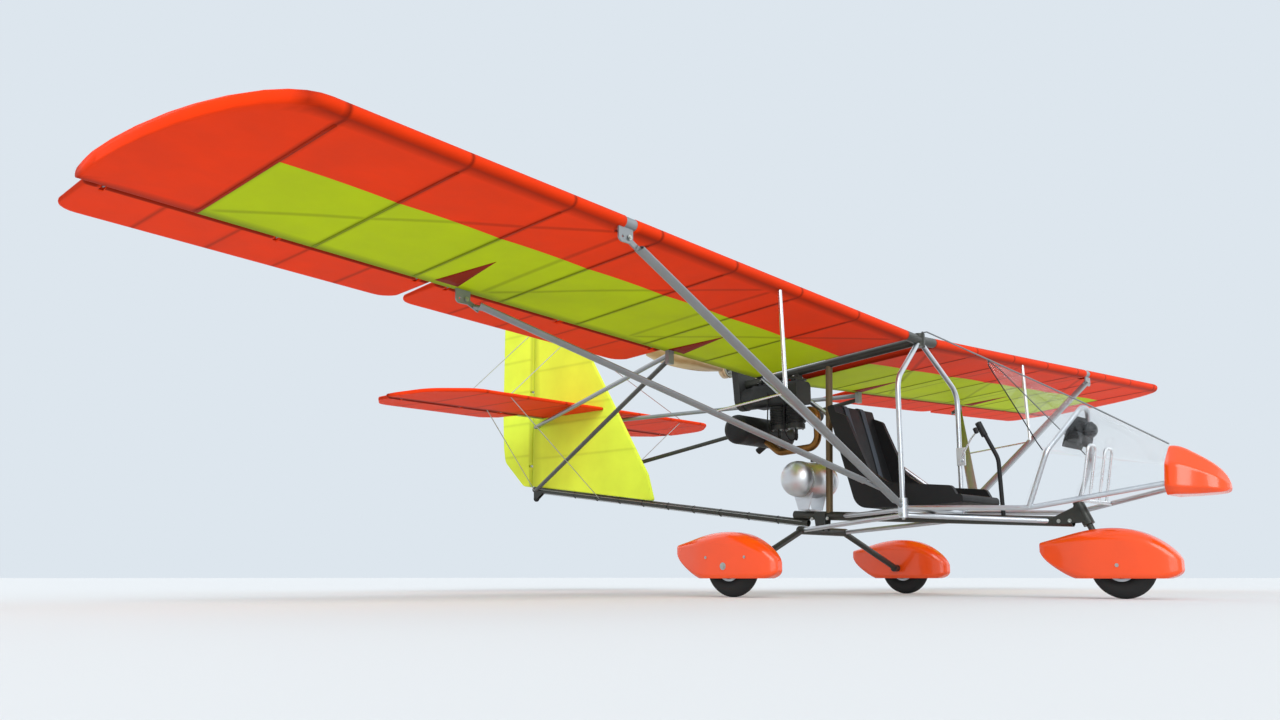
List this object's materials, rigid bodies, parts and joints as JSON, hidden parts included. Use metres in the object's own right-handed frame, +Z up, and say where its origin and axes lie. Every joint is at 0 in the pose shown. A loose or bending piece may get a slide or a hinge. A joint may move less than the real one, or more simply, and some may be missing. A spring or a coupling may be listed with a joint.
{
  "type": "microlight aircraft",
  "caption": "Single-seat high-wing pusher microlight of tube and fabric on a faired tricycle undercarriage, with moving control surfaces, wheels and propeller.",
  "frame": {"origin": "on the ground under the middle of the whole aircraft, centre of the bounding box base", "axes": "+X to port along the wing span, +Y to the tail (the nose looks along -Y), +Z up"},
  "size_m": [8.1756, 5.0379, 2.05],
  "materials": {
    "wing_fabric": "coated sailcloth, red in front and lime green behind",
    "red_fabric": "coated sailcloth",
    "yellow_fabric": "fluorescent yellow sailcloth",
    "dark_tube": "dark anodised tube",
    "spar_tube": "drawn tube",
    "dark_steel_tube": "dark painted steel tube",
    "silver_steel": "silver painted steel tube",
    "strut_grey": "grey painted streamlined tube",
    "strut_silver": "silver tube",
    "stay_steel": "stay wire and rod",
    "dark_steel": "dark painted steel",
    "muffler_black": "heat resistant black paint",
    "orange_gloss": "gloss orange moulding",
    "clear_hood": "formed clear sheet",
    "panel_grey": "grey moulding",
    "black_plastic": "black moulding",
    "polished_aluminium": "polished sheet",
    "engine_metal": "dark cast alloy",
    "drive_steel": "machined steel",
    "propeller_wood": "varnished laminated wood",
    "tyre_black": "black rubber",
    "rim_alloy": "cast rim"
  },
  "bodies": {
    "airframe": {"wing_left": "wing_fabric", "wing_right": "wing_fabric", "stabiliser": "red_fabric", "fin": "yellow_fabric", "keel_tube": "dark_steel_tube", "roof_frame": "dark_tube", "tail_boom": "dark_tube", "upper_tail_tubes": "dark_tube", "lower_tail_tubes": "dark_tube", "wing_spars_left": "spar_tube", "wing_spars_right": "spar_tube", "side_rails": "silver_steel", "front_cage": "silver_steel", "rear_cage": "silver_steel", "crossbar": "silver_steel", "floor_braces": "silver_steel", "windshield_arch": "silver_steel", "mast": "silver_steel", "rudder_pedals": "silver_steel", "front_struts": "strut_grey", "rear_struts": "strut_grey", "jury_struts": "strut_silver", "tail_stays": "stay_steel", "gear_beam": "dark_steel", "gear_legs": "dark_steel", "steering_head": "dark_steel", "tail_wheel_bracket": "dark_steel", "muffler": "muffler_black", "exhaust_pipe": "muffler_black", "nose_cone": "orange_gloss", "main_fairings": "orange_gloss", "windshield": "clear_hood", "instrument_panel": "panel_grey", "seat": "black_plastic", "control_stick": "black_plastic", "fuel_tank": "polished_aluminium", "engine_block": "engine_metal", "reduction_drive": "engine_metal", "carburettors": "engine_metal"},
    "flap_left": {"flap_left": "red_fabric"},
    "flap_right": {"flap_right": "red_fabric"},
    "aileron_left": {"aileron_left": "red_fabric"},
    "aileron_right": {"aileron_right": "red_fabric"},
    "elevator": {"elevator": "red_fabric"},
    "rudder": {"rudder": "yellow_fabric"},
    "nose_steering": {"nose_fork": "dark_steel", "nose_fairing": "orange_gloss"},
    "nose_wheel": {"nose_tyre": "tyre_black", "nose_rim": "rim_alloy"},
    "left_wheel": {"left_tyre": "tyre_black", "left_rim": "rim_alloy"},
    "right_wheel": {"right_tyre": "tyre_black", "right_rim": "rim_alloy"},
    "tail_wheel": {"tail_wheel": "tyre_black"},
    "propeller": {"propeller": "propeller_wood", "propeller_shaft": "drive_steel"}
  },
  "joints": [
    {"name": "flap_left_hinge", "type": "hinge", "parent": "airframe", "child": "flap_left", "pos_m": [1.73926, 0.04255, 1.37781], "axis": [0.9986, 0, 0.0523], "range_deg": [-35, 0]},
    {"name": "flap_right_hinge", "type": "hinge", "parent": "airframe", "child": "flap_right", "pos_m": [-1.73926, 0.04255, 1.37781], "axis": [0.9986, 0, -0.0523], "range_deg": [-35, 0]},
    {"name": "aileron_left_hinge", "type": "hinge", "parent": "airframe", "child": "aileron_left", "pos_m": [3.29213, 0.04255, 1.4592], "axis": [0.9986, 0, 0.0523], "range_deg": [-22, 22]},
    {"name": "aileron_right_hinge", "type": "hinge", "parent": "airframe", "child": "aileron_right", "pos_m": [-3.29213, 0.04255, 1.4592], "axis": [0.9986, 0, -0.0523], "range_deg": [-22, 22]},
    {"name": "elevator_hinge", "type": "hinge", "parent": "airframe", "child": "elevator", "pos_m": [0, 2.06, 1.25], "axis": [1, 0, 0], "range_deg": [-25, 25]},
    {"name": "rudder_hinge", "type": "hinge", "parent": "airframe", "child": "rudder", "pos_m": [0, 2.183, 1.4], "axis": [0, 0, 1], "range_deg": [-28, 28]},
    {"name": "nose_steering_swivel", "type": "hinge", "parent": "airframe", "child": "nose_steering", "pos_m": [0, -1.85, 0.4], "axis": [0, 0.4226, 0.9063], "range_deg": [-25, 25]},
    {"name": "nose_wheel_spin", "type": "hinge", "parent": "nose_steering", "child": "nose_wheel", "pos_m": [0, -2.018, 0.155], "axis": [1, 0, 0], "continuous": true},
    {"name": "left_wheel_spin", "type": "hinge", "parent": "airframe", "child": "left_wheel", "pos_m": [0.866, -0.366, 0.155], "axis": [1, 0, 0], "continuous": true},
    {"name": "right_wheel_spin", "type": "hinge", "parent": "airframe", "child": "right_wheel", "pos_m": [-0.866, -0.366, 0.155], "axis": [1, 0, 0], "continuous": true},
    {"name": "tail_wheel_spin", "type": "hinge", "parent": "airframe", "child": "tail_wheel", "pos_m": [0, 2.125, 0.66267], "axis": [1, 0, 0], "continuous": true},
    {"name": "propeller_spin", "type": "hinge", "parent": "airframe", "child": "propeller", "pos_m": [0, 0.345, 1.397], "axis": [0, 1, 0], "continuous": true}
  ],
  "couplings": [
    {"joint": "flap_right_hinge", "follows": "flap_left_hinge", "ratio": 1},
    {"joint": "aileron_right_hinge", "follows": "aileron_left_hinge", "ratio": -1}
  ]
}
